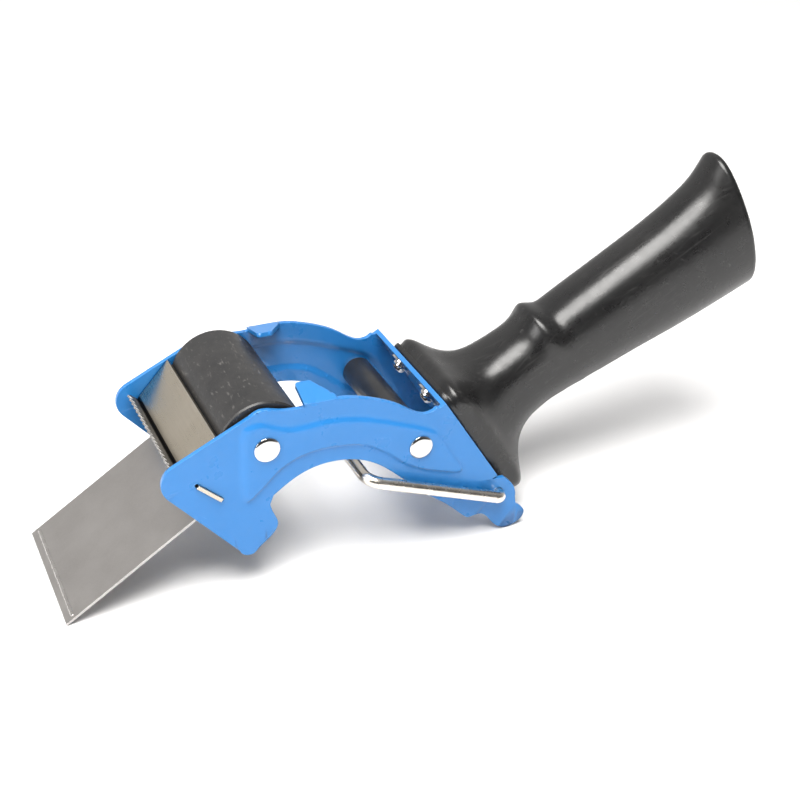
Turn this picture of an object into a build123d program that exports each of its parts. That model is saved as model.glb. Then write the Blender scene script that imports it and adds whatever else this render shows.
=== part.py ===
from build123d import *
import os
from math import sin, cos, radians, degrees, atan2, pi, hypot

# Hand-held dispenser for 50 mm packing tape, millimetres.
# It stands as it rests on a table: on the wiper's edge in front and on the two
# rear lobes of the side plates. +X runs from the wiper towards the handle,
# +Z is up and Y runs across the tool, which is symmetric about Y = 0.
# Profile points are written as (distance behind the wiper's edge, height).

# ---------------------------------------------------------------- dimensions
XC = 123.56            # wiper edge to the middle of the overall length
OUTER_W = 57.0         # over the two side plates
SHEET = 1.5            # frame sheet thickness
INNER_W = OUTER_W - 2 * SHEET
PANEL_RAISE = 0.8      # height of the pressed panel on each side plate

WEB_X, WEB_Z = 124.6, 49.0          # point on the rear face of the web
WEB_ANGLE = 31.5                    # handle axis above the horizontal
WEB_TOP, WEB_END = -2.6, 33.0       # web between the bends, along its slope
TONGUE_END, TONGUE_W = 48.5, 41.0   # flat tongue below the bends
BEND_OUT, BEND_IN = 2.2, 0.7

FRONT_AXLE = (64.5, 48.3)
FRONT_AXLE_R = 3.0
FRONT_ROLLER_R = 14.5
REAR_AXLE = (114.5, 38.0)
REAR_AXLE_R = 2.0
REAR_ROLLER_R = 5.1
ROLLER_L = 52.4
HEAD_R, HEAD_H = 4.05, 1.0
RUN = 0.05                          # radial running clearance

GUIDE_T = 1.2                       # guide plate thickness
GUIDE_W = 53.2
GUIDE_TOP = (49.5, 54.7)
GUIDE_APEX = (38.8, 42.85)
GUIDE_FOOT = (52.2, 31.05)
LUG_FROM, LUG_TO = 4.6, 14.2          # along the lower leg from the bend

WIPER_T = 0.8
WIPER_W = 53.4
BLADE_T = 0.6
BLADE_W = 52.8
TOOTH_PITCH, TOOTH_H = 2.75, 1.6
BLADE_RIVET, WIPER_RIVET = 3.9, 11.6   # rivet rows along the lower leg

BAIL_PIVOT = (142.1, 14.0)
BAIL_BAR = (95.9, 31.0)
WIRE_R = 1.95
WIRE_Y = 31.65                      # wire centre from the middle plane
WIRE_BEND = 4.6

COLLAR_Y = 22.5                     # half width across the tool
COLLAR_S = (0.0, 51.0)              # from / to along the web's slope
COLLAR_T = 2.2
SCREW_S, SCREW_Y = (3.0, 43.2), 11.3
SCREW_R = 1.5
INSERT_R = 2.2
CORE_END = 94.0
END_R = 700.0                       # slight dome of the handle's end

# ---------------------------------------------------------------- directions
ca, sa = cos(radians(WEB_ANGLE)), sin(radians(WEB_ANGLE))


def p(x, z):
    """Profile point in the XZ plane."""
    return (x - XC, z)


def ps(*pts):
    return [p(x, z) for x, z in pts]


def web(s, t):
    """Profile point s along the web's slope (down) and t behind its rear face."""
    return (WEB_X + s * sa + t * ca, WEB_Z - s * ca + t * sa)


def web3(s, y, t):
    x, z = web(s, t)
    return Vector(x - XC, y, z)


def handle_plane(s, t):
    """Plane square to the handle axis: local x across the tool, local y up."""
    return Plane(origin=web3(s, 0, t), x_dir=(0, 1, 0), z_dir=(ca, 0, sa))


def side(y):
    """Plane square to Y at the given y, local x = X, local y = Z."""
    return Plane.XZ.offset(-y)


def unit(a, b):
    d = hypot(b[0] - a[0], b[1] - a[1])
    return ((b[0] - a[0]) / d, (b[1] - a[1]) / d)


def off(pt, n, d):
    return (pt[0] + n[0] * d, pt[1] + n[1] * d)


# directions along the guide plate's two legs, and square to them towards the roller
u1 = unit(GUIDE_TOP, GUIDE_APEX)
n1 = (-u1[1], u1[0])
u2 = unit(GUIDE_APEX, GUIDE_FOOT)
n2 = (-u2[1], u2[0])
lug_mid = off(off(GUIDE_APEX, u2, (LUG_FROM + LUG_TO) / 2), n2, GUIDE_T / 2)

os.makedirs("parts", exist_ok=True)

# ---------------------------------------------------------------- frame
# One folded sheet: two side plates joined at the rear by the sloping web.
TOP_EDGE = ps((60.0, 59.75), (64.0, 61.3), (69.3, 60.2), (75.5, 59.6), (82, 60.1),
              (88, 60.5), (94, 59.5), (101.2, 57.1), (107.8, 53.8), (112.3, 50.7),
              (115.5, 49.2), (118.3, 49.2), (120.2, 50.3))
web_corner = p(*web(WEB_TOP, -BEND_OUT))
web_foot = p(*web(WEB_END, -BEND_OUT))
EAR = ps((144.3, 19.5), (146.6, 17.3), (148.3, 14.2), (148.5, 11.3))
HEEL = ps((148.8, 8.6), (150.8, 6.8), (152.0, 4.7), (150.9, 2.3), (147.6, 0.55),
          (145.2, 0.0), (142.7, 1.0), (139.7, 4.1), (136.9, 7.2), (134.4, 7.6),
          (131.9, 7.2), (129.5, 8.8), (124.1, 14.0), (118.8, 18.2), (108.8, 27.2),
          (102.7, 32.8), (96.1, 36.9), (87.8, 38.9), (81.3, 38.7), (74.8, 36.8),
          (68.6, 33.1), (66.2, 31.4))
TOE = ps((65.0, 28.6), (66.6, 23.6), (67.2, 21.0), (65.6, 17.8), (60.9, 13.7),
         (58.9, 12.0), (56.9, 11.9), (54.6, 14.0))
NOSE = p(27.65, 44.08)

with BuildPart() as frame:
    with BuildSketch(side(-INNER_W / 2)):
        with BuildLine():
            Line(NOSE, TOP_EDGE[0])
            Spline(TOP_EDGE)
            Line(TOP_EDGE[-1], web_corner)
            Line(web_corner, web_foot)
            Line(web_foot, p(142.0, 19.6))
            Line(p(142.0, 19.6), EAR[0])
            Spline(EAR)
            Line(EAR[-1], HEEL[0])
            Spline(HEEL)
            Line(HEEL[-1], TOE[0])
            Spline(TOE)
            Line(TOE[-1], NOSE)
        make_face()
        fillet([v for v in vertices() if abs(v.X - NOSE[0]) < 0.1], 6.6)
    extrude(amount=SHEET)
    # pressed panel, standing proud outside and sunk inside
    PANEL = ps((56.4, 29.4), (56.9, 55.6), (59.8, 56.9), (63.4, 57.2), (66.5, 55.6),
               (72.0, 53.3), (78, 53.4), (84, 54.0), (91.2, 53.1), (97.7, 51.5),
               (107.5, 47.8), (114.3, 45.1), (119.4, 42.6), (122.0, 39.4),
               (125.6, 33.2), (129.4, 27.0), (128.4, 25.0), (121.3, 27.3),
               (114.4, 29.8), (108.9, 33.0), (104.2, 37.3), (97.6, 42.0),
               (91.0, 43.9), (81.3, 44.3), (74.8, 43.3), (68.4, 40.2), (63.3, 35.0))
    with BuildSketch(side(-OUTER_W / 2)) as panel_out:
        with BuildLine():
            Polyline(PANEL, close=True)
        make_face()
        fillet(vertices(), 0.9)
    extrude(amount=PANEL_RAISE, taper=40)
    with BuildSketch(side(-INNER_W / 2)):
        with BuildLine():
            Polyline(PANEL, close=True)
        make_face()
        fillet(vertices(), 0.9)
        offset(amount=-0.9)
    extrude(amount=PANEL_RAISE, taper=40, mode=Mode.SUBTRACT)
    # trapezoid tab turned in from the top edge, rising 12 degrees
    tab_plane = Plane(origin=(82.0 - XC, -INNER_W / 2 - SHEET + 0.4, 59.1),
                      x_dir=(1, 0, 0), z_dir=(0, -sin(radians(12)), cos(radians(12))))
    with BuildSketch(tab_plane):
        with BuildLine():
            Polyline((-4.9, -0.2), (5.7, -0.2), (5.7, 1.8), (0.3, 10.6), (-4.5, 10.6), close=True)
        make_face()
        fillet([v for v in vertices() if v.Y > 5], 1.1)
    extrude(amount=SHEET)
    # web with its near bend: half section square to the web's slope
    with BuildSketch(Plane(origin=web3(WEB_TOP, 0, 0), x_dir=(0, 1, 0), z_dir=(sa, 0, -ca))):
        with BuildLine():
            # local x = +Y, local y = +t behind the web
            Polyline((0, 0), (-OUTER_W / 2, 0), (-OUTER_W / 2, -BEND_OUT - 0.3),
                     (-INNER_W / 2, -BEND_OUT - 0.3), (-INNER_W / 2, -SHEET), (0, -SHEET), close=True)
        make_face()
        fillet([v for v in vertices() if v.Y < -OUTER_W / 2 + 0.1 and hypot(v.X - web3(WEB_TOP, 0, 0).X, v.Z - web3(WEB_TOP, 0, 0).Z) < 0.1], BEND_OUT)
    extrude(amount=WEB_END - WEB_TOP)
    # flat tongue between the ears
    with BuildSketch(Plane(origin=web3(0, 0, 0), x_dir=(0, 1, 0), z_dir=(ca, 0, sa))):
        with BuildLine():
            Polyline((0, -WEB_END + 6), (-TONGUE_W / 2, -WEB_END + 6), (-TONGUE_W / 2, -TONGUE_END),
                     (0, -TONGUE_END), close=True)
        make_face()
    extrude(amount=-SHEET)
    # holes: both axles, the bail and the slot for the guide plate's lug
    with BuildSketch(side(-INNER_W / 2 + 1)):
        with Locations(p(*FRONT_AXLE)):
            Circle(FRONT_AXLE_R)
        with Locations(p(*REAR_AXLE)):
            Circle(REAR_AXLE_R)
        with Locations(p(*BAIL_PIVOT)):
            Circle(WIRE_R + RUN)
        with Locations(p(*lug_mid)):
            SlotOverall(LUG_TO - LUG_FROM + 1.5, GUIDE_T + 0.04,
                        rotation=degrees(atan2(u2[1], u2[0])))
    extrude(amount=4, mode=Mode.SUBTRACT)
    with BuildSketch(Plane(origin=web3(0, 0, 0.5), x_dir=(0, 1, 0), z_dir=(ca, 0, sa))):
        for s in SCREW_S:
            with Locations((-SCREW_Y, -s)):
                Circle(SCREW_R + 0.15)
    extrude(amount=-3, mode=Mode.SUBTRACT)
    mirror(about=Plane.XZ)
frame.part.label = "frame"
export_step(frame.part, "parts/frame.step")

# ---------------------------------------------------------------- guide plate
# A bent steel plate: the upper leg leads the tape down from the front roller,
# the lower leg turns back under it and has a lug in each side plate's slot.

# inside corner of the bend
bend_den = u1[0] * u2[1] - u1[1] * u2[0]
a_in, b_in = off(GUIDE_APEX, n1, GUIDE_T), off(GUIDE_APEX, n2, GUIDE_T)
k_in = ((b_in[0] - a_in[0]) * u2[1] - (b_in[1] - a_in[1]) * u2[0]) / bend_den
inner_corner = off(a_in, u1, k_in)

with BuildPart() as guide_plate:
    with BuildSketch(side(0)):
        with BuildLine():
            Polyline(ps(GUIDE_TOP, GUIDE_APEX, GUIDE_FOOT, off(GUIDE_FOOT, n2, GUIDE_T),
                        inner_corner, off(GUIDE_TOP, n1, GUIDE_T)), close=True)
        make_face()
        fillet([v for v in vertices() if hypot(v.X - p(*GUIDE_APEX)[0], v.Z - GUIDE_APEX[1]) < 0.05], 1.5)
        fillet([v for v in vertices() if hypot(v.X - p(*inner_corner)[0], v.Z - inner_corner[1]) < 0.05], 0.4)
    extrude(amount=GUIDE_W / 2, both=True)
    # lugs
    c0 = off(GUIDE_APEX, u2, LUG_FROM)
    c1 = off(GUIDE_APEX, u2, LUG_TO)
    with BuildSketch(side(0)):
        with BuildLine():
            Polyline(ps(c0, c1, off(c1, n2, GUIDE_T), off(c0, n2, GUIDE_T)), close=True)
        make_face()
    extrude(amount=OUTER_W / 2 + 0.9, both=True)
    # rivet holes in the lower leg
    leg = Plane(origin=(GUIDE_APEX[0] - XC, 0, GUIDE_APEX[1]), x_dir=(0, 1, 0), z_dir=(n2[0], 0, n2[1]))
    leg_dir = leg.y_dir.X * u2[0] + leg.y_dir.Z * u2[1]
    with BuildSketch(leg.offset(-0.5)):
        with Locations(*[(y, leg_dir * d) for y in (-18, 0, 18) for d in (BLADE_RIVET, WIPER_RIVET)]):
            Circle(1.25)
    extrude(amount=3, mode=Mode.SUBTRACT)
guide_plate.part.label = "guide_plate"
export_step(guide_plate.part, "parts/guide_plate.step")

# ---------------------------------------------------------------- blade
# Toothed steel strip on the front of the lower leg, its teeth past the bend.
BLADE_IN, BLADE_OUT = 7.4, 4.4
with BuildPart() as cutter_blade:
    count = int(BLADE_W / TOOTH_PITCH)
    half = count * TOOTH_PITCH / 2
    with BuildSketch(leg):
        pts = [(-half, leg_dir * BLADE_IN), (-half, -leg_dir * (BLADE_OUT - TOOTH_H))]
        for i in range(count):
            y0 = -half + i * TOOTH_PITCH
            pts.append((y0 + TOOTH_PITCH / 2, -leg_dir * BLADE_OUT))
            pts.append((y0 + TOOTH_PITCH, -leg_dir * (BLADE_OUT - TOOTH_H)))
        pts.append((half, leg_dir * BLADE_IN))
        with BuildLine():
            Polyline(pts, close=True)
        make_face()
        with Locations(*[(y, leg_dir * BLADE_RIVET) for y in (-18, 0, 18)]):
            Circle(1.25, mode=Mode.SUBTRACT)
    extrude(amount=-BLADE_T)
cutter_blade.part.label = "cutter_blade"
export_step(cutter_blade.part, "parts/cutter_blade.step")

# ---------------------------------------------------------------- wiper
# Spring steel flap: lip at the tip, flat blade, and a flange folded up
# against the lower leg of the guide plate.
w_dir = (cos(radians(33.1)), sin(radians(33.1)))
w_n = (-w_dir[1], w_dir[0])
flange_top = off(GUIDE_APEX, u2, 8.0)
# underside line of the flap starts just behind the tip
lip = (2.3, 1.15)
lip_top = off(lip, w_n, WIPER_T)
fl_a = off(flange_top, n2, -WIPER_T)
# corners of the fold
den = w_dir[0] * u2[1] - w_dir[1] * u2[0]
k1 = ((flange_top[0] - lip[0]) * u2[1] - (flange_top[1] - lip[1]) * u2[0]) / den
fold_out = off(lip, w_dir, k1)
k2 = ((fl_a[0] - lip_top[0]) * u2[1] - (fl_a[1] - lip_top[1]) * u2[0]) / den
fold_in = off(lip_top, w_dir, k2)
with BuildPart() as wiper:
    with BuildSketch(side(0)):
        with BuildLine():
            Polyline(ps(lip, fold_out, flange_top, fl_a, fold_in, lip_top, (-0.0, 0.55), (0.35, 0.0)), close=True)
        make_face()
        fillet([v for v in vertices() if hypot(v.X - p(*fold_out)[0], v.Z - fold_out[1]) < 0.05], 1.3)
        fillet([v for v in vertices() if hypot(v.X - p(*fold_in)[0], v.Z - fold_in[1]) < 0.05], 0.5)
    extrude(amount=WIPER_W / 2, both=True)
    with BuildSketch(leg.offset(0.5)):
        with Locations(*[(y, leg_dir * WIPER_RIVET) for y in (-18, 0, 18)]):
            Circle(1.25)
    extrude(amount=-2.5, mode=Mode.SUBTRACT)
wiper.part.label = "wiper"
export_step(wiper.part, "parts/wiper.step")

# ---------------------------------------------------------------- rivets
with BuildPart() as blade_rivets:
    for y in (-18, 0, 18):
        pl = Plane(origin=leg.origin + leg.x_dir * y + leg.y_dir * (leg_dir * BLADE_RIVET), x_dir=leg.x_dir, z_dir=leg.z_dir)
        with BuildSketch(pl.offset(-BLADE_T)):
            Circle(1.25)
        extrude(amount=BLADE_T + GUIDE_T)
        with BuildSketch(pl.offset(-BLADE_T)):
            Circle(2.2)
        extrude(amount=-0.8, taper=25)
        with BuildSketch(pl.offset(GUIDE_T)):
            Circle(2.2)
        extrude(amount=0.8, taper=25)
blade_rivets.part.label = "blade_rivets"
export_step(blade_rivets.part, "parts/blade_rivets.step")

with BuildPart() as wiper_rivets:
    for y in (-18, 0, 18):
        pl = Plane(origin=leg.origin + leg.x_dir * y + leg.y_dir * (leg_dir * WIPER_RIVET), x_dir=leg.x_dir, z_dir=leg.z_dir)
        with BuildSketch(pl.offset(-WIPER_T)):
            Circle(1.25)
        extrude(amount=WIPER_T + GUIDE_T)
        with BuildSketch(pl.offset(-WIPER_T)):
            Circle(2.2)
        extrude(amount=-0.8, taper=25)
        with BuildSketch(pl.offset(GUIDE_T)):
            Circle(2.2)
        extrude(amount=0.8, taper=25)
wiper_rivets.part.label = "wiper_rivets"
export_step(wiper_rivets.part, "parts/wiper_rivets.step")


# ---------------------------------------------------------------- axles
def axle_profile(r, head_r, face):
    """Half section of a pin riveted over at both ends: domed heads on the panels."""
    h = HEAD_H
    return [(0, face + h), (head_r * 0.5, face + h * 0.95), (head_r * 0.85, face + h * 0.78),
            (head_r, face + 0.4), (head_r, face), (r, face), (r, 0)]


def turned(r, head_r, centre, face):
    """Plane through the axis, local x = radius (up), local y = +Y."""
    return Plane(origin=(centre[0] - XC, 0, centre[1]), x_dir=(0, 0, 1), z_dir=(1, 0, 0))


FACE = OUTER_W / 2 + PANEL_RAISE
with BuildPart() as front_axle:
    pl = turned(FRONT_AXLE_R, HEAD_R, FRONT_AXLE, FACE)
    sgn = 1 if pl.y_dir.Y > 0 else -1
    with BuildSketch(pl):
        with BuildLine():
            pr = axle_profile(FRONT_AXLE_R, HEAD_R, FACE)
            Spline([(a, sgn * b) for a, b in pr[:4]])
            Polyline([(a, sgn * b) for a, b in pr[3:]])
            Line((FRONT_AXLE_R, 0), (0, 0))
            Line((0, 0), (0, sgn * pr[0][1]))
        make_face()
    revolve(axis=Axis((FRONT_AXLE[0] - XC, 0, FRONT_AXLE[1]), (0, 1, 0)))
    mirror(about=Plane.XZ)
front_axle.part.label = "front_axle"
export_step(front_axle.part, "parts/front_axle.step")

with BuildPart() as rear_axle:
    pl = turned(REAR_AXLE_R, HEAD_R, REAR_AXLE, FACE)
    with BuildSketch(pl):
        with BuildLine():
            pr = axle_profile(REAR_AXLE_R, HEAD_R - 0.2, FACE)
            Spline([(a, sgn * b) for a, b in pr[:4]])
            Polyline([(a, sgn * b) for a, b in pr[3:]])
            Line((REAR_AXLE_R, 0), (0, 0))
            Line((0, 0), (0, sgn * pr[0][1]))
        make_face()
    revolve(axis=Axis((REAR_AXLE[0] - XC, 0, REAR_AXLE[1]), (0, 1, 0)))
    mirror(about=Plane.XZ)
rear_axle.part.label = "rear_axle"
export_step(rear_axle.part, "parts/rear_axle.step")

# ---------------------------------------------------------------- front roller
# Moulded core with hub and end discs, covered by a soft sleeve.
CORE_R, CORE_WALL, HUB_R = 12.0, 2.0, 5.6
BUSH_R, BUSH_L = 4.4, 8.0
HALF_L = ROLLER_L / 2
with BuildPart() as front_roller_sleeve:
    with BuildSketch(side(0)):
        with Locations(p(*FRONT_AXLE)):
            Circle(FRONT_ROLLER_R)
            Circle(CORE_R, mode=Mode.SUBTRACT)
    extrude(amount=HALF_L, both=True)
    chamfer(edges().filter_by(GeomType.CIRCLE).group_by(SortBy.RADIUS)[-1], 0.5)
front_roller_sleeve.part.label = "front_roller_sleeve"
export_step(front_roller_sleeve.part, "parts/front_roller_sleeve.step")

with BuildPart() as front_roller_core:
    with BuildSketch(side(0)):
        with Locations(p(*FRONT_AXLE)):
            Circle(CORE_R)
            Circle(CORE_R - CORE_WALL, mode=Mode.SUBTRACT)
    extrude(amount=HALF_L, both=True)
    with BuildSketch(side(0)):
        with Locations(p(*FRONT_AXLE)):
            Circle(HUB_R)
    extrude(amount=HALF_L, both=True)
    for y in (-HALF_L + 1.5, -1.25, HALF_L - 4.0):
        with BuildSketch(side(y)):
            with Locations(p(*FRONT_AXLE)):
                Circle(CORE_R - CORE_WALL + 0.5)
        extrude(amount=-2.5)
    with BuildSketch(side(0)):
        with Locations(p(*FRONT_AXLE)):
            Circle(FRONT_AXLE_R + 0.6)
    extrude(amount=HALF_L, both=True, mode=Mode.SUBTRACT)
    for y in (-HALF_L, HALF_L - BUSH_L):
        with BuildSketch(side(y)):
            with Locations(p(*FRONT_AXLE)):
                Circle(BUSH_R)
        extrude(amount=-BUSH_L, mode=Mode.SUBTRACT)
front_roller_core.part.label = "front_roller_core"
export_step(front_roller_core.part, "parts/front_roller_core.step")

with BuildPart() as front_roller_bushes:
    for y in (-HALF_L, HALF_L - BUSH_L):
        with BuildSketch(side(y)):
            with Locations(p(*FRONT_AXLE)):
                Circle(BUSH_R)
                Circle(FRONT_AXLE_R + RUN, mode=Mode.SUBTRACT)
        extrude(amount=-BUSH_L)
front_roller_bushes.part.label = "front_roller_bushes"
export_step(front_roller_bushes.part, "parts/front_roller_bushes.step")

# thin washers between roller ends and side plates
with BuildPart() as front_spacers:
    for y in (-HALF_L - 1.55, HALF_L + 0.1):
        with BuildSketch(side(y)):
            with Locations(p(*FRONT_AXLE)):
                Circle(6.0)
                Circle(FRONT_AXLE_R + 0.02, mode=Mode.SUBTRACT)
        extrude(amount=-1.45)
front_spacers.part.label = "front_spacers"
export_step(front_spacers.part, "parts/front_spacers.step")

# ---------------------------------------------------------------- rear roller
with BuildPart() as rear_roller:
    with BuildSketch(side(0)):
        with Locations(p(*REAR_AXLE)):
            Circle(REAR_ROLLER_R)
    extrude(amount=HALF_L, both=True)
    chamfer(edges().filter_by(GeomType.CIRCLE), 0.4)
    with BuildSketch(side(0)):
        with Locations(p(*REAR_AXLE)):
            Circle(REAR_AXLE_R + RUN)
    extrude(amount=HALF_L, both=True, mode=Mode.SUBTRACT)
rear_roller.part.label = "rear_roller"
export_step(rear_roller.part, "parts/rear_roller.step")

with BuildPart() as rear_spacers:
    for y in (-HALF_L - 1.55, HALF_L + 0.1):
        with BuildSketch(side(y)):
            with Locations(p(*REAR_AXLE)):
                Circle(3.8)
                Circle(REAR_AXLE_R + 0.02, mode=Mode.SUBTRACT)
        extrude(amount=-1.45)
rear_spacers.part.label = "rear_spacers"
export_step(rear_spacers.part, "parts/rear_spacers.step")

# ---------------------------------------------------------------- wire bail
# Bent wire: a cross bar in front, two arms outside the side plates and two
# ends turned in through the ears.
with BuildPart() as bail_wire:
    bx, bz = p(*BAIL_BAR)
    hx, hz = p(*BAIL_PIVOT)
    end_y = INNER_W / 2 - 1.6
    arm = Vector(hx - bx, 0, hz - bz).normalized()
    across = Vector(0, 1, 0)
    with BuildLine() as wire_path:
        for k in (-1, 1):
            pin = Vector(hx, k * WIRE_Y, hz)
            bar = Vector(bx, k * WIRE_Y, bz)
            inward = across * -k
            r1, r2 = 2.0, WIRE_BEND
            m1 = pin + (inward - arm) * r1 - (inward - arm).normalized() * r1
            m2 = bar + (inward + arm) * r2 - (inward + arm).normalized() * r2
            Line(Vector(hx, k * end_y, hz), pin + inward * r1)
            ThreePointArc(pin + inward * r1, m1, pin - arm * r1)
            Line(pin - arm * r1, bar + arm * r2)
            ThreePointArc(bar + arm * r2, m2, bar + inward * r2)
        Line(Vector(bx, -WIRE_Y + WIRE_BEND, bz), Vector(bx, WIRE_Y - WIRE_BEND, bz))
    with BuildSketch(Plane(origin=(hx, -end_y, hz), z_dir=(0, -1, 0))):
        Circle(WIRE_R)
    sweep()
bail_wire.part.label = "bail_wire"
export_step(bail_wire.part, "parts/bail_wire.step")

# ---------------------------------------------------------------- handle
# Moulded collar flaring into a neck, finger stop, swelling grip and horn.
SECTIONS = [  # t, centre s, half height, half width, squareness, stop height, narrowing
    (1.4, 25.5, 25.4, 22.4, 9.0, 0, 0), (4.4, 25.5, 25.35, 22.35, 8.5, 0, 0),
    (6.1, 25.6, 24.9, 22.0, 7.2, 0, 0),
    (7.8, 25.8, 23.2, 21.0, 5.4, 0, 0), (9.6, 26.0, 21.1, 19.1, 4.3, 0, 0),
    (11.6, 26.0, 19.2, 17.4, 3.6, 0, 0), (14.0, 25.8, 17.5, 15.9, 3.1, 0, 0),
    (17.0, 25.5, 16.0, 14.9, 2.8, 0, 0), (21.0, 25.2, 15.0, 14.1, 2.6, 0, 0),
    (26.0, 25.25, 14.6, 13.6, 2.5, 0, 0), (31.0, 25.5, 14.6, 13.4, 2.4, 0, 0),
    (35.0, 25.9, 14.75, 13.4, 2.4, 0.4, 0), (38.5, 26.3, 14.9, 13.4, 2.4, 2.0, 0),
    (41.5, 26.65, 15.15, 13.4, 2.4, 3.4, 0), (43.8, 27.0, 15.3, 13.4, 2.4, 2.2, 0),
    (46.2, 27.25, 15.45, 13.4, 2.35, 0.4, 0), (50.0, 27.7, 15.85, 13.5, 2.3, 0, 0),
    (62.0, 28.85, 16.85, 13.7, 2.3, 0, 0), (80.0, 30.8, 18.5, 14.0, 2.3, 0, 0.01),
    (96.0, 32.0, 19.8, 14.5, 2.3, 0, 0.03), (107.0, 32.2, 21.1, 14.9, 2.3, 0, 0.07),
    (113.0, 31.9, 22.25, 15.2, 2.3, 0, 0.12),
    (119.0, 30.95, 24.35, 15.4, 2.3, 0, 0.17), (124.0, 29.95, 26.15, 15.5, 2.3, 0, 0.2),
    (130.0, 29.15, 27.75, 15.5, 2.3, 0, 0.22)]


def ring(cs, a, b, n, stop, slim, count=32):
    """Closed section: local x across, local y up from the web's top point."""
    pts = []
    for i in range(count):
        th = 2 * pi * i / count
        c, s = cos(th), sin(th)
        r = (abs(c / b) ** n + abs(s / a) ** n) ** (-1 / n)
        x, y = r * c, r * s
        if s > 0:
            y += stop * s ** 1.5
            x += 0.35 * stop * (1 if c >= 0 else -1) * abs(c) * s
            x *= 1 - slim * s ** 1.5
        pts.append((x, y - cs))
    return pts


with BuildPart() as handle:
    for t, cs, a, b, n, stop, slim in SECTIONS:
        with BuildSketch(handle_plane(0, t)):
            with BuildLine():
                Spline(ring(cs, a, b, n, stop, slim), periodic=True)
            make_face()
    loft()
    # domed, slanting end
    tilt = radians(14.7)
    e = web3(29.7, 0, 117.9)
    nx = ca * cos(tilt) + sa * sin(tilt)
    nz = sa * cos(tilt) - ca * sin(tilt)
    with Locations((e.X - END_R * nx, 0, e.Z - END_R * nz)):
        Sphere(END_R, mode=Mode.INTERSECT)
    fillet(faces().sort_by(Axis((0, 0, 0), (ca, 0, sa)))[-1].edges(), 1.9)
    # collar
    with BuildSketch(handle_plane(0, 0)):
        with Locations((0, -(COLLAR_S[0] + COLLAR_S[1]) / 2)):
            RectangleRounded(2 * COLLAR_Y, COLLAR_S[1] - COLLAR_S[0], 6.0)
    extrude(amount=COLLAR_T)
    fillet(faces().sort_by(Axis((0, 0, 0), (ca, 0, sa)))[0].outer_wire().edges(), 1.1)
    # cored inside from the collar
    for t, cs, a, b in ((-0.5, 25.5, 9.5, 9.5), (45.0, 26.8, 10.0, 9.0), (CORE_END, 31.5, 12.5, 9.5)):
        with BuildSketch(handle_plane(0, t)):
            with Locations((0, -cs)):
                Ellipse(b, a)
    loft(mode=Mode.SUBTRACT)
    # holes for the threaded inserts
    with BuildSketch(handle_plane(0, -0.5)):
        for s in SCREW_S:
            with Locations((-SCREW_Y, -s), (SCREW_Y, -s)):
                Circle(INSERT_R)
    extrude(amount=5.5, mode=Mode.SUBTRACT)
handle.part.label = "handle"
export_step(handle.part, "parts/handle.step")

# ---------------------------------------------------------------- handle fixings
with BuildPart() as handle_inserts:
    with BuildSketch(handle_plane(0, 0.1)):
        for s in SCREW_S:
            with Locations((-SCREW_Y, -s), (SCREW_Y, -s)):
                Circle(INSERT_R)
                Circle(SCREW_R + 0.03, mode=Mode.SUBTRACT)
    extrude(amount=4.8)
handle_inserts.part.label = "handle_inserts"
export_step(handle_inserts.part, "parts/handle_inserts.step")

with BuildPart() as handle_washers:
    with BuildSketch(handle_plane(0, -SHEET)):
        for s in SCREW_S:
            with Locations((-SCREW_Y, -s), (SCREW_Y, -s)):
                Circle(4.5)
                Circle(SCREW_R + 0.15, mode=Mode.SUBTRACT)
    extrude(amount=-0.8)
handle_washers.part.label = "handle_washers"
export_step(handle_washers.part, "parts/handle_washers.step")

with BuildPart() as handle_screws:
    for s in SCREW_S:
        for y in (-SCREW_Y, SCREW_Y):
            # half section: local x = radius, local y = along the handle axis
            pl = Plane(origin=web3(s, y, -SHEET - 0.8), x_dir=(0, 1, 0), z_dir=(-sa, 0, ca))
            up = 1 if pl.y_dir.X > 0 else -1
            shank = SHEET + 0.8 + 4.7
            with BuildSketch(pl):
                with BuildLine():
                    Line((0, -2.0 * up), (1.1, -1.9 * up))
                    ThreePointArc((1.1, -1.9 * up), (2.15, -1.42 * up), (2.6, -0.5 * up))
                    Polyline((2.6, -0.5 * up), (2.6, 0), (SCREW_R, 0), (SCREW_R, (shank - 0.3) * up),
                             (SCREW_R - 0.3, shank * up), (0, shank * up), (0, -2.0 * up))
                make_face()
            revolve(axis=Axis(tuple(pl.origin), (ca, 0, sa)))
            # cross recess
            with BuildSketch(Plane(origin=web3(s, y, -SHEET - 0.8 - 2.1), x_dir=(0, 1, 0), z_dir=(ca, 0, sa))):
                Rectangle(2.6, 0.55)
                Rectangle(0.55, 2.6)
            extrude(amount=1.1, mode=Mode.SUBTRACT)
handle_screws.part.label = "handle_screws"
export_step(handle_screws.part, "parts/handle_screws.step")
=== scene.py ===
import math

import bmesh
import bpy
from mathutils import Matrix, Vector


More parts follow.
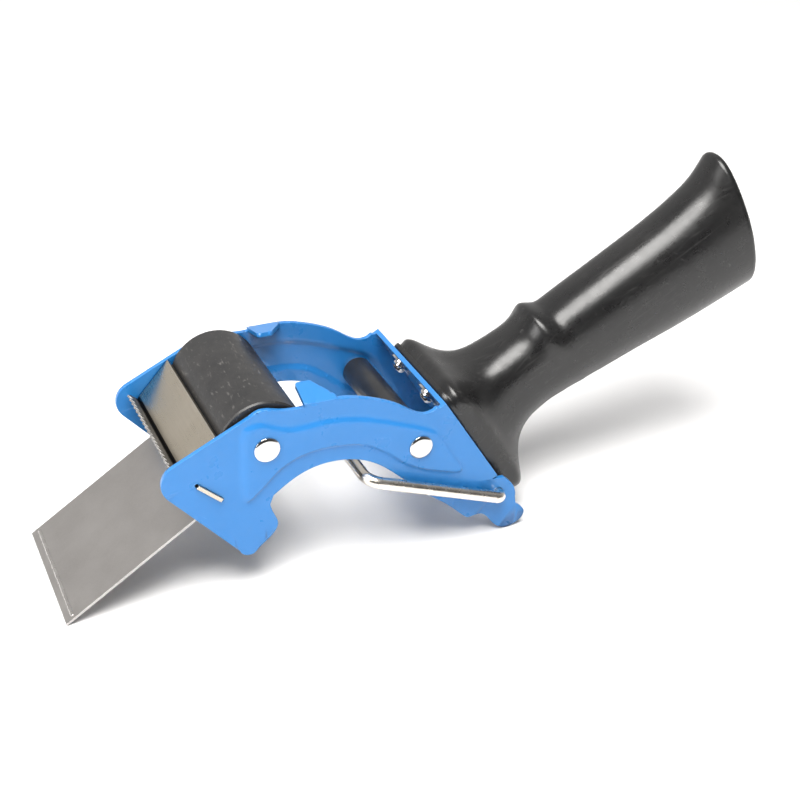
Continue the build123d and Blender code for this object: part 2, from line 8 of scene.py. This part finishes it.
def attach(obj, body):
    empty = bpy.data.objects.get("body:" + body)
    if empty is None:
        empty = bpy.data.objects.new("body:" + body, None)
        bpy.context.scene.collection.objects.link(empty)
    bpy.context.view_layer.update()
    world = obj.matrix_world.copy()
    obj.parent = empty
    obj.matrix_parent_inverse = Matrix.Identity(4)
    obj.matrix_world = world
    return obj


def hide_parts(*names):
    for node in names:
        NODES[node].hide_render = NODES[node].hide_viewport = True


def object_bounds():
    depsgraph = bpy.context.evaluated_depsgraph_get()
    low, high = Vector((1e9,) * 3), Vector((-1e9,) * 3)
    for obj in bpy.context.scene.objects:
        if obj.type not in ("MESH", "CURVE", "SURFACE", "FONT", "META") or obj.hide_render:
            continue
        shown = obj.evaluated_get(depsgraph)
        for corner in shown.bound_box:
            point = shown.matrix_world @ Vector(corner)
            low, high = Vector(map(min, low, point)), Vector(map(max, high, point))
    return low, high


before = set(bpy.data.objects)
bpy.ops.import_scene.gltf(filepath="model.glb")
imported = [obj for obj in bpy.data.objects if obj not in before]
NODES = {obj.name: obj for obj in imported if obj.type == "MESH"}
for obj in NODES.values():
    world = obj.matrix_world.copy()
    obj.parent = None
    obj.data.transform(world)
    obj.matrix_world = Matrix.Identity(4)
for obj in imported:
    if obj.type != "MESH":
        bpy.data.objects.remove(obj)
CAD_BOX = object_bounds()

XC = -CAD_BOX[0][0]  # from the wiper's edge to the middle of the length


def P(x, z):
    """Row place (x, z) in metres of a profile point: millimetres behind the wiper's edge, and up."""
    return (x / 1000 - XC, z / 1000)


# ---------------------------------------------------------------- material helpers
class Mat:
    """A node material with short helpers. Coordinates are the object's own, in metres."""

    def __init__(self, name):
        self.m = bpy.data.materials.new(name)
        self.m.use_nodes = True
        self.t = self.m.node_tree
        self.b = self.t.nodes["Principled BSDF"]
        self.co = self.t.nodes.new("ShaderNodeTexCoord").outputs["Object"]

    def new(self, kind, **props):
        n = self.t.nodes.new(kind)
        for k, v in props.items():
            setattr(n, k, v)
        return n

    def link(self, a, b):
        self.t.links.new(a, b)

    def put(self, sock, v):
        if isinstance(v, bpy.types.NodeSocket):
            self.link(v, sock)
        else:
            sock.default_value = v

    def mapped(self, scale=(1, 1, 1), rot=(0, 0, 0), loc=(0, 0, 0), src=None):
        n = self.new("ShaderNodeMapping")
        n.inputs["Scale"].default_value = scale
        n.inputs["Rotation"].default_value = [math.radians(a) for a in rot]
        n.inputs["Location"].default_value = loc
        self.link(src or self.co, n.inputs["Vector"])
        return n.outputs["Vector"]

    def noise(self, scale, detail=3.0, rough=0.5, vec=None, distort=0.0):
        n = self.new("ShaderNodeTexNoise")
        n.inputs["Scale"].default_value = scale
        n.inputs["Detail"].default_value = detail
        n.inputs["Roughness"].default_value = rough
        n.inputs["Distortion"].default_value = distort
        self.link(vec or self.co, n.inputs["Vector"])
        return n.outputs["Fac"]

    def cells(self, scale, vec=None, feature="F1", rnd=1.0):
        n = self.new("ShaderNodeTexVoronoi", feature=feature)
        n.inputs["Scale"].default_value = scale
        n.inputs["Randomness"].default_value = rnd
        self.link(vec or self.co, n.inputs["Vector"])
        return n.outputs["Distance"]

    def ramp(self, src, lo, hi, a=0.0, b=1.0):
        n = self.new("ShaderNodeMapRange")
        n.clamp = True
        self.link(src, n.inputs["Value"])
        n.inputs["From Min"].default_value = lo
        n.inputs["From Max"].default_value = hi
        n.inputs["To Min"].default_value = a
        n.inputs["To Max"].default_value = b
        return n.outputs["Result"]

    def math(self, op, a, b=0.0, clamp=False):
        n = self.new("ShaderNodeMath", operation=op, use_clamp=clamp)
        self.put(n.inputs[0], a)
        self.put(n.inputs[1], b)
        return n.outputs[0]

    def mix(self, fac, a, b, mode="MIX"):
        n = self.new("ShaderNodeMix", data_type="RGBA", blend_type=mode)
        self.put(n.inputs["Factor"], fac)
        self.put(n.inputs["A"], (*a, 1) if isinstance(a, tuple) else a)
        self.put(n.inputs["B"], (*b, 1) if isinstance(b, tuple) else b)
        return n.outputs["Result"]

    def edge(self, radius, lo, hi):
        """0 on flats, 1 on edges sharper than a rounding of that radius."""
        bv = self.new("ShaderNodeBevel", samples=6)
        bv.inputs["Radius"].default_value = radius
        geo = self.new("ShaderNodeNewGeometry")
        dot = self.new("ShaderNodeVectorMath", operation="DOT_PRODUCT")
        self.link(bv.outputs["Normal"], dot.inputs[0])
        self.link(geo.outputs["Normal"], dot.inputs[1])
        return self.ramp(dot.outputs["Value"], hi, lo)

    def bump(self, height, distance, strength=1.0, normal=None):
        n = self.new("ShaderNodeBump")
        n.inputs["Strength"].default_value = strength
        n.inputs["Distance"].default_value = distance
        self.link(height, n.inputs["Height"])
        if normal is not None:
            self.link(normal, n.inputs["Normal"])
        self.link(n.outputs["Normal"], self.b.inputs["Normal"])
        return n.outputs["Normal"]

    def shelter(self, distance, lo, hi, samples=6):
        """1 in crevices and enclosed places, 0 in the open."""
        n = self.new("ShaderNodeAmbientOcclusion", samples=samples)
        n.inputs["Distance"].default_value = distance
        return self.ramp(n.outputs["AO"], hi, lo)

    def along(self, direction, point):
        """Distance in metres along a row direction from a row point."""
        n = self.new("ShaderNodeVectorMath", operation="DOT_PRODUCT")
        self.link(self.co, n.inputs[0])
        n.inputs[1].default_value = direction
        return self.math("SUBTRACT", n.outputs["Value"], Vector(direction).dot(Vector(point)))

    def round_normal(self, radius):
        bv = self.new("ShaderNodeBevel", samples=6)
        bv.inputs["Radius"].default_value = radius
        return bv.outputs["Normal"]

    def set(self, **vals):
        for k, v in vals.items():
            self.put(self.b.inputs[k.replace("_", " ")], v)

    def color(self, v):
        self.put(self.b.inputs["Base Color"], (*v, 1) if isinstance(v, tuple) else v)

    def streaks(self, rots, stretch=6.0, scale=700.0, lo=0.66, hi=0.74, patch=45.0, cover=0.5):
        """Irregular strokes in patches: stretched noise, cut high, in a few directions."""
        out = None
        for i, r in enumerate(rots):
            v = self.mapped((1, 1, 1), r, (0.021 * i, 0.009 * i, 0.005 * i))
            v = self.mapped((1.0 / stretch, 1.0, 1.0), src=v)
            s = self.ramp(self.noise(scale * (1 + 0.21 * i), 3, 0.55, vec=v), lo, hi)
            g = self.ramp(self.noise(patch * (1 + 0.3 * i), 2, vec=self.mapped(loc=(i * 0.37, 0.11, 0.23))), 1 - cover, 1.15 - cover)
            s = self.math("MULTIPLY", s, g)
            out = s if out is None else self.math("MAXIMUM", out, s)
        return out

    def scratches(self, rots, density=0.5, length=9.0, fine=900.0, thin=0.16):
        """Short straight scratches: stretched cell spots, in a few directions."""
        out = None
        for i, r in enumerate(rots):
            v = self.mapped((1, 1, 1), r, (0.013 * i, 0.007 * i, 0.003 * i))
            v = self.mapped((1.0 / length, 1.0, 1.0), src=v)
            d = self.cells(fine / (1 + 0.15 * i), vec=v)
            s = self.ramp(d, thin, thin * 0.4)
            gate = self.ramp(self.noise(90 + 17 * i, 2, vec=self.mapped(loc=(i * 0.5, 0.2, 0.1))), 1 - density, 1 - density + 0.12)
            s = self.math("MULTIPLY", s, gate)
            out = s if out is None else self.math("MAXIMUM", out, s)
        return out


def blue_paint():
    m = Mat("blue_paint")
    broad = m.noise(28, 2)
    fine = m.noise(420, 4, 0.6)
    col = m.mix(m.ramp(broad, 0.35, 0.65), (0.021, 0.196, 0.535), (0.026, 0.210, 0.565))
    col = m.mix(m.ramp(fine, 0.3, 0.75, 0, 0.10), col, (0.07, 0.27, 0.66))
    # edge mask: the paler blue mixed onto edges is partly thin paint on worn edges and partly a painted highlight
    # along the edges; where it meets the chip pattern the edge shows bare steel
    edge_wear_and_highlight = m.edge(0.00035, 0.93, 0.99)
    chips = m.ramp(m.noise(330, 5, 0.65), 0.66, 0.72)
    # paler edges: thin worn paint together with a painted edge highlight
    light = m.math("MULTIPLY", edge_wear_and_highlight, 0.35)
    col = m.mix(light, col, (0.13, 0.37, 0.80))
    bare = m.math("MULTIPLY", edge_wear_and_highlight, chips)
    col = m.mix(bare, col, (0.42, 0.43, 0.44))
    rub = m.scratches([(0, 25, 10), (0, -40, 5), (30, 70, 0)], density=0.42, length=14, fine=700, thin=0.10)
    col = m.mix(m.math("MULTIPLY", rub, 0.18), col, (0.22, 0.45, 0.85))
    # painted shade: the paint is darkened and turned teal where the sheet is enclosed (ambient occlusion)
    col = m.mix(m.shelter(0.05, 0.05, 0.62), col, (0.16, 0.52, 0.56), "MULTIPLY")
    # painted shade: darker grey in tight crevices and narrow gaps between parts
    col = m.mix(m.shelter(0.0012, 0.35, 0.72), col, (0.30, 0.36, 0.42), "MULTIPLY")
    m.color(col)
    m.set(Roughness=m.math("ADD", m.ramp(m.noise(160, 4), 0.3, 0.7, 0.26, 0.38), m.math("MULTIPLY", rub, 0.2)),
          Metallic=m.math("MULTIPLY", bare, 0.8))
    m.b.inputs["Coat Weight"].default_value = 0.25
    m.b.inputs["Coat Roughness"].default_value = 0.12
    m.bump(m.noise(1100, 2), 0.000012, 0.6, m.round_normal(0.0004))
    return m.m


def satin(name, dark, light, rough=(0.32, 0.45), grain=(1, 60, 60), mottling=60, bump=0.000008, seam_shade=None, pits=0.0):
    """Brushed or satin sheet metal: grain runs along the axis with the smallest scale."""
    m = Mat(name)
    g = m.noise(60, 5, 0.7, vec=m.mapped(grain))
    mott = m.noise(mottling, 4, 0.6)
    col = m.mix(m.ramp(mott, 0.3, 0.7), dark, light)
    col = m.mix(m.ramp(g, 0.35, 0.7, 0, 0.30), col, tuple(min(1, c * 1.25) for c in light))
    sc = m.scratches([(0, 33, 8), (0, 33, -30)], density=0.4, length=20, fine=800, thin=0.08)
    col = m.mix(m.math("MULTIPLY", sc, 0.35), col, (0.85, 0.85, 0.85))
    edge = m.edge(0.0003, 0.9, 0.985)
    col = m.mix(m.math("MULTIPLY", edge, 0.5), col, (0.9, 0.9, 0.9))
    if pits:
        grit = m.ramp(m.noise(1500, 3, 0.7), 0.42, 0.62)
        col = m.mix(m.math("MULTIPLY", grit, pits), col, (0.05, 0.048, 0.045))
    if seam_shade:
        # painted shade along a seam: a dark band in the crease where two parts meet, standing in for the contact
        # shadow there: (direction, point, from, to, softness) in metres
        d, pt, a, b, soft = seam_shade
        s = m.along(d, pt)
        crease_shade = m.math("MULTIPLY", m.ramp(s, a - soft, a), m.ramp(s, b + soft, b))
        crease_shade = m.math("MULTIPLY", crease_shade, m.ramp(m.along((0.7503, 0, -0.6611), pt), 0.0036, 0.0030))
        col = m.mix(m.math("MULTIPLY", crease_shade, 0.98), col, (0.012, 0.011, 0.011))
    m.set(Metallic=1.0)
    m.color(col)
    m.set(Roughness=m.ramp(m.math("ADD", m.math("MULTIPLY", g, 0.6), m.math("MULTIPLY", mott, 0.4)), 0.3, 0.7, *rough))
    m.bump(g, bump, 0.5, m.round_normal(0.00025))
    return m.m


def bright(name, dark, light, rough=(0.06, 0.16)):
    """Plated, polished steel."""
    m = Mat(name)
    n = m.noise(220, 4)
    col = m.mix(m.ramp(n, 0.35, 0.7), dark, light)
    sc = m.scratches([(0, 20, 0), (40, -50, 20)], density=0.5, length=10, fine=1500, thin=0.09)
    m.color(m.mix(m.math("MULTIPLY", sc, 0.4), col, tuple(c * 0.7 for c in dark)))
    m.set(Metallic=1.0)
    m.set(Roughness=m.math("ADD", m.ramp(n, 0.3, 0.75, *rough), m.math("MULTIPLY", sc, 0.15)))
    m.bump(m.noise(700, 3), 0.000006, 0.5, m.round_normal(0.0002))
    return m.m


def handle_plastic():
    m = Mat("handle_plastic")
    n = m.noise(70, 4)
    sc = m.streaks([(10, -31, 12), (0, 58, 40), (25, -80, 5)], 5, 620, 0.67, 0.75, 40, 0.50)
    hair = m.streaks([(0, 31, 0), (0, 25, 14), (0, 40, -10)], 22, 900, 0.60, 0.72, 30, 0.62)
    col = m.mix(m.ramp(n, 0.3, 0.7), (0.0080, 0.0080, 0.0085), (0.0120, 0.0118, 0.0120))
    marks = m.math("MAXIMUM", m.math("MULTIPLY", sc, 0.34), m.math("MULTIPLY", hair, 0.10))
    col = m.mix(marks, col, (0.15, 0.147, 0.142))
    m.color(col)
    m.set(Roughness=m.math("ADD", m.ramp(m.noise(240, 5, 0.65), 0.3, 0.7, 0.25, 0.34), m.math("MULTIPLY", marks, 0.8)))
    m.b.inputs["IOR"].default_value = 1.57
    h = m.math("SUBTRACT", m.noise(480, 3), m.math("MULTIPLY", marks, 1.2))
    m.bump(h, 0.00003, 0.7, m.round_normal(0.0005))
    return m.m


def roller_rubber():
    m = Mat("roller_rubber")
    n = m.noise(120, 5, 0.6)
    col = m.mix(m.ramp(n, 0.3, 0.7), (0.017, 0.017, 0.018), (0.030, 0.029, 0.029))
    sc = m.streaks([(0, 90, 70), (0, 60, 100), (20, 120, 85)], 4.5, 620, 0.63, 0.72, 60, 0.62)
    dust = m.ramp(m.noise(2600, 2), 0.66, 0.74)
    marks = m.math("MAXIMUM", m.math("MULTIPLY", sc, 0.35), m.math("MULTIPLY", dust, 0.12))
    col = m.mix(marks, col, (0.22, 0.21, 0.20))
    # painted shade: near-black, rougher rubber in crevices close to the guide plate and the side plates
    near = m.shelter(0.009, 0.40, 0.78)
    m.color(m.mix(near, col, (0.002, 0.002, 0.003)))
    m.set(Roughness=m.math("ADD", m.ramp(m.noise(300, 5), 0.3, 0.7, 0.34, 0.44), m.math("MULTIPLY", near, 0.4)))
    m.b.inputs["IOR"].default_value = 1.55
    m.bump(m.noise(900, 4), 0.00003, 0.5, m.round_normal(0.00015))
    return m.m


def moulding(name, base, rough=(0.35, 0.5)):
    m = Mat(name)
    n = m.noise(180, 5)
    m.color(m.mix(m.ramp(n, 0.3, 0.7), tuple(c * 0.85 for c in base), tuple(min(1, c * 1.2) for c in base)))
    m.set(Roughness=m.ramp(m.noise(400, 4), 0.3, 0.7, *rough))
    m.bump(m.noise(1200, 3), 0.00002, 0.5, m.round_normal(0.0003))
    return m.m


APEX = (P(38.8, 0)[0], 0, 0.04285)  # outer corner of the guide plate's bend
MATS = {
    "frame": blue_paint(),
    # guide plate and blade both carry a painted shade line in the crease where they meet at the bend
    "guide_plate": satin("nickel_plate", (0.55, 0.49, 0.395), (0.63, 0.57, 0.475), (0.24, 0.34), (60, 1.0, 60), 45,
                         seam_shade=((-0.6702, 0, -0.7422), APEX, -0.0009, 0.01, 0.0002)),
    "cutter_blade": satin("blade_steel", (0.17, 0.165, 0.16), (0.34, 0.33, 0.32), (0.4, 0.6), (60, 3, 60), 160,
                          seam_shade=((0.7503, 0, -0.6611), APEX, -0.0007, 0.02, 0.0003), pits=0.6),
    "wiper": satin("satin_steel", (0.455, 0.435, 0.42), (0.53, 0.51, 0.495), (0.36, 0.48), (1.2, 60, 60), 70),
    "handle": handle_plastic(),
    "front_roller_sleeve": roller_rubber(),
    "bail_wire": bright("bright_wire", (0.80, 0.745, 0.67), (0.90, 0.85, 0.78), (0.22, 0.32)),
    "handle_inserts": bright("brass_insert", (0.60, 0.42, 0.16), (0.75, 0.56, 0.26), (0.2, 0.3)),
}
chrome = bright("bright_steel", (0.72, 0.71, 0.70), (0.84, 0.83, 0.82))
dark_moulding = moulding("black_moulding", (0.022, 0.022, 0.023), (0.28, 0.4))
pale_moulding = moulding("bush_plastic", (0.62, 0.61, 0.58))
for n in ("front_axle", "rear_axle", "blade_rivets", "wiper_rivets", "handle_washers", "handle_screws"):
    MATS[n] = chrome
for n in ("front_roller_core", "rear_roller"):
    MATS[n] = dark_moulding
for n in ("front_roller_bushes", "front_spacers", "rear_spacers"):
    MATS[n] = pale_moulding


# ---------------------------------------------------------------- sheet metal with a soft pressing
# outline of the pressed panel, mm
PANEL = [(56.4, 29.4), (56.6, 42.0), (56.9, 55.6), (59.8, 56.9), (63.4, 57.2), (66.5, 55.6),
         (72.0, 53.3), (78, 53.4), (84, 54.0), (91.2, 53.1), (97.7, 51.5),
         (107.5, 47.8), (114.3, 45.1), (119.4, 42.6), (122.0, 39.4),
         (125.6, 33.2), (129.4, 27.0), (128.4, 25.0), (121.3, 27.3),
         (114.4, 29.8), (108.9, 33.0), (104.2, 37.3), (97.6, 42.0),
         (91.0, 43.9), (81.3, 44.3), (74.8, 43.3), (68.4, 40.2), (63.3, 35.0)]


def smooth_loop(pts, rounds=2):
    """Corner cutting: a closed outline with soft corners."""
    for _ in range(rounds):
        out = []
        for i, a in enumerate(pts):
            b = pts[(i + 1) % len(pts)]
            out.append((a[0] * 0.75 + b[0] * 0.25, a[1] * 0.75 + b[1] * 0.25))
            out.append((a[0] * 0.25 + b[0] * 0.75, a[1] * 0.25 + b[1] * 0.75))
        pts = out
    return pts


LOOP = smooth_loop(PANEL)
SEGS = [(a, LOOP[(i + 1) % len(LOOP)]) for i, a in enumerate(LOOP)]


def pressing(x, z):
    """(signed distance inside the panel in mm, nearest point's z and x) for a profile point in mm."""
    best, inside, near = 1e9, False, (0, 0)
    for (ax, az), (bx, bz) in SEGS:
        dx, dz = bx - ax, bz - az
        t = max(0.0, min(1.0, ((x - ax) * dx + (z - az) * dz) / (dx * dx + dz * dz)))
        px, pz = ax + t * dx, az + t * dz
        d = (x - px) ** 2 + (z - pz) ** 2
        if d < best:
            best, near = d, (px, pz)
        if (az > z) != (bz > z) and x < ax + (z - az) * dx / dz:
            inside = not inside
    d = math.sqrt(best)
    return (d if inside else -d), near


def step_width(px, pz):
    """The step is wide and soft in front and on top, and narrow along the arch."""
    if px < 58:
        return 3.0
    top = pz - (46.5 if px < 92 else 46.5 - (px - 92) * 0.52)
    return 0.9 + 1.2 * max(0.0, min(1.0, top / 3.0))


def pressed_sheet(node, step=0.9):
    """A copy of the node, cut to a fine grid, with the panel's step as a smooth curve."""
    src = NODES[node]
    me = src.data.copy()
    bm = bmesh.new()
    bm.from_mesh(me)
    bmesh.ops.remove_doubles(bm, verts=bm.verts, dist=1e-6)
    lo, hi = P(52, 20), P(134, 62)
    for axis, a, b in ((0, lo[0], hi[0]), (2, lo[1], hi[1])):
        c = a
        while c < b:
            co = Vector((c, 0, 0)) if axis == 0 else Vector((0, 0, c))
            no = Vector((1, 0, 0)) if axis == 0 else Vector((0, 0, 1))
            bmesh.ops.bisect_plane(bm, geom=list(bm.verts) + list(bm.edges) + list(bm.faces), dist=1e-7, plane_co=co, plane_no=no)
            c += step / 1000
    for v in bm.verts:
        x, y, z = (v.co.x + XC) * 1000, v.co.y * 1000, v.co.z * 1000
        if abs(y) < 26.98 or abs(y) > 29.32 or x > 133 or x < 50 or z < 20:
            continue
        d, near = pressing(x, z)
        w = step_width(*near)
        t = max(0.0, min(1.0, (d + 0.35 * w) / w))
        h = 0.8 * t * t * (3 - 2 * t)
        base = 28.5 if abs(y) > 28.16 else 27.0
        if abs(y) > 28.55 or abs(y) < 28.45 or h > 0:
            if 27.02 < abs(y) < 27.98 or abs(y) > 28.16 or h > 0:
                v.co.y = math.copysign(base + h, y) / 1000
    bm.normal_update()
    bm.to_mesh(me)
    bm.free()
    me.update()
    o = bpy.data.objects.new(node + "_sheet", me)
    bpy.context.scene.collection.objects.link(o)
    me.polygons.foreach_set("use_smooth", [True] * len(me.polygons))
    me.set_sharp_from_angle(angle=math.radians(34))
    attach(o, "body")
    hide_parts(node)
    return o


def dress(o, mat):
    if not o.material_slots:
        o.data.materials.append(mat)
    for s in o.material_slots:
        s.material = mat


for name, o in NODES.items():
    dress(o, MATS[name])
sheet = pressed_sheet("frame")
dress(sheet, MATS["frame"])

# ---------------------------------------------------------------- bead along the wiper's tip
def bead(name, along, half, r, x, lift, tilt):
    """Half-round bead with round ends, lying across the flap at `along` mm from its tip."""
    bm = bmesh.new()
    rings = []
    n, m = 14, 12
    stations = []
    for i in range(n + 1):
        a = math.pi / 2 * i / n
        stations.append((-half + r * (1 - math.sin(a)) * 1.0, math.cos(math.pi / 2 - a)))
    stations = [(-half + r * (1 - math.cos(math.pi / 2 * i / n)), math.sin(math.pi / 2 * i / n)) for i in range(n + 1)]
    stations += [(-y, k) for y, k in reversed(stations[:-1])]
    stations = stations[:n + 1] + [(0.0, 1.0)] + stations[n + 1:]
    d = Vector((math.cos(tilt), 0, math.sin(tilt)))
    up = Vector((-math.sin(tilt), 0, math.cos(tilt)))
    base = Vector((*[P(*along)[0]], 0, P(*along)[1]))
    for y, k in stations:
        ring = []
        for j in range(m + 1):
            a = math.pi * j / m
            ring.append(bm.verts.new(base + d * (math.cos(a) * r * max(k, 0.02) / 1000) + up * ((math.sin(a) * lift * max(k, 0.02) - 0.05) / 1000) + Vector((0, y / 1000, 0))))
        rings.append(ring)
    for a, b in zip(rings, rings[1:]):
        for j in range(m):
            bm.faces.new((a[j], a[j + 1], b[j + 1], b[j]))
        bm.faces.new((a[m], a[0], b[0], b[m]))
    bm.faces.new(rings[0][::-1])
    bm.faces.new(rings[-1])
    bmesh.ops.recalc_face_normals(bm, faces=bm.faces)
    me = bpy.data.meshes.new(name)
    bm.to_mesh(me)
    bm.free()
    me.polygons.foreach_set("use_smooth", [True] * len(me.polygons))
    me.set_sharp_from_angle(angle=math.radians(50))
    o = bpy.data.objects.new(name, me)
    bpy.context.scene.collection.objects.link(o)
    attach(o, "body")
    return o


SLOPE = math.radians(33.1)
tip_top = (2.3 - math.sin(SLOPE) * 0.8 + 0.45, 1.15 + math.cos(SLOPE) * 0.8 + 0.29)
wiper_bead = bead("wiper_bead", tip_top, 25.3, 0.62, 0, 0.34, SLOPE)
dress(wiper_bead, bright("bead_steel", (0.55, 0.53, 0.51), (0.66, 0.64, 0.62), (0.22, 0.34)))

# ---------------------------------------------------------------- floor
me = bpy.data.meshes.new("floor")
me.from_pydata([(-3, -3, 0), (3, -3, 0), (3, 3, 0), (-3, 3, 0)], [], [(0, 1, 2, 3)])
floor = bpy.data.objects.new("floor", me)
bpy.context.scene.collection.objects.link(floor)
floor.location.z = CAD_BOX[0][2] - 0.0002
fm = Mat("floor_white")
fm.color(fm.mix(fm.ramp(fm.noise(3, 2), 0.3, 0.7), (0.86, 0.86, 0.87), (0.88, 0.88, 0.885)))
fm.set(Roughness=0.75)
fm.b.inputs["Specular IOR Level"].default_value = 0.2
dress(floor, fm.m)

# ---------------------------------------------------------------- light
world = bpy.data.worlds.new("studio")
bpy.context.scene.world = world
world.use_nodes = True
wt = world.node_tree
bg = wt.nodes["Background"]
tc = wt.nodes.new("ShaderNodeTexCoord")
sep = wt.nodes.new("ShaderNodeSeparateXYZ")
wt.links.new(tc.outputs["Generated"], sep.inputs[0])
mr = wt.nodes.new("ShaderNodeMapRange")
wt.links.new(sep.outputs["Y"], mr.inputs["Value"])
mr.inputs["From Min"].default_value = -0.7
mr.inputs["From Max"].default_value = 0.8
mr.inputs["To Min"].default_value = 0.07
mr.inputs["To Max"].default_value = 0.62
bg.inputs["Color"].default_value = (1.0, 0.985, 0.965, 1)
wt.links.new(mr.outputs["Result"], bg.inputs["Strength"])


def area(name, loc, target, size, power, color=(1, 1, 1), size_y=None):
    d = bpy.data.lights.new(name, "AREA")
    d.energy = power
    d.color = color
    d.size = size
    if size_y:
        d.shape = "RECTANGLE"
        d.size_y = size_y
    o = bpy.data.objects.new(name, d)
    bpy.context.scene.collection.objects.link(o)
    o.location = loc
    o.rotation_euler = (Vector(target) - Vector(loc)).to_track_quat("-Z", "Y").to_euler()
    return o


area("key", (-0.22, -0.44, 1.15), (0, 0, 0.03), 0.8, 25.5, (1.0, 0.985, 0.96), 0.75)
area("left_fill", (-0.95, -0.35, 0.42), (0, 0, 0.04), 0.5, 4.0, (1.0, 0.99, 0.98), 0.4)
wash = area("back_wash", (0.3, 1.6, 1.4), (0.2, 1.4, 0), 2.2, 12.0, (1.0, 1.0, 1.0), 1.0)
wash.visible_glossy = False

# ---------------------------------------------------------------- camera
cam = bpy.data.objects.new("camera", bpy.data.cameras.new("camera"))
bpy.context.scene.collection.objects.link(cam)
cam.location = (-0.05485 - XC, -0.42111, 0.28926)
cam.rotation_euler = Vector((0.33535, 0.80968, -0.48160)).to_track_quat("-Z", "Y").to_euler()
cam.data.lens = 71.41
cam.data.sensor_width = 36.0
cam.data.clip_start = 0.01
bpy.context.scene.camera = cam
bpy.context.scene.view_settings.view_transform = "Standard"
